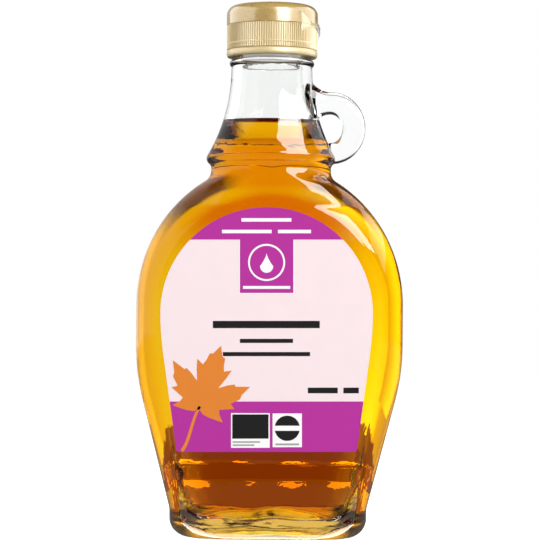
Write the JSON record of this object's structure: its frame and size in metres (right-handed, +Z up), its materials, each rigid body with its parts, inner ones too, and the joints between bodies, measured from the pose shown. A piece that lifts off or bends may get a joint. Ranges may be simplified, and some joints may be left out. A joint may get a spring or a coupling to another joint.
{
  "type": "maple syrup bottle",
  "caption": "Clear glass flask with a loop handle at its neck, filled with amber syrup, with a ribbed gold screw cap and a paper front label.",
  "frame": {"origin": "centre of the foot, on the surface that the bottle stands on", "axes": "+Z up along the neck's axis; -Y is the side with the label; +X is the side with the handle"},
  "size_m": [0.0866, 0.044, 0.1734],
  "materials": {
    "clear_glass": "clear flint glass, fire-polished",
    "syrup": "clear amber syrup",
    "gold_cap": "satin metallic gold moulded plastic",
    "clear_film": "clear shrink film",
    "label_paper": "smooth coated label paper"
  },
  "bodies": {
    "root": {"bottle_glass": "clear_glass", "syrup": "syrup", "cap": "gold_cap", "tear_ring": "gold_cap", "seal_tab": "clear_film", "front_label": "label_paper"}
  },
  "joints": []
}
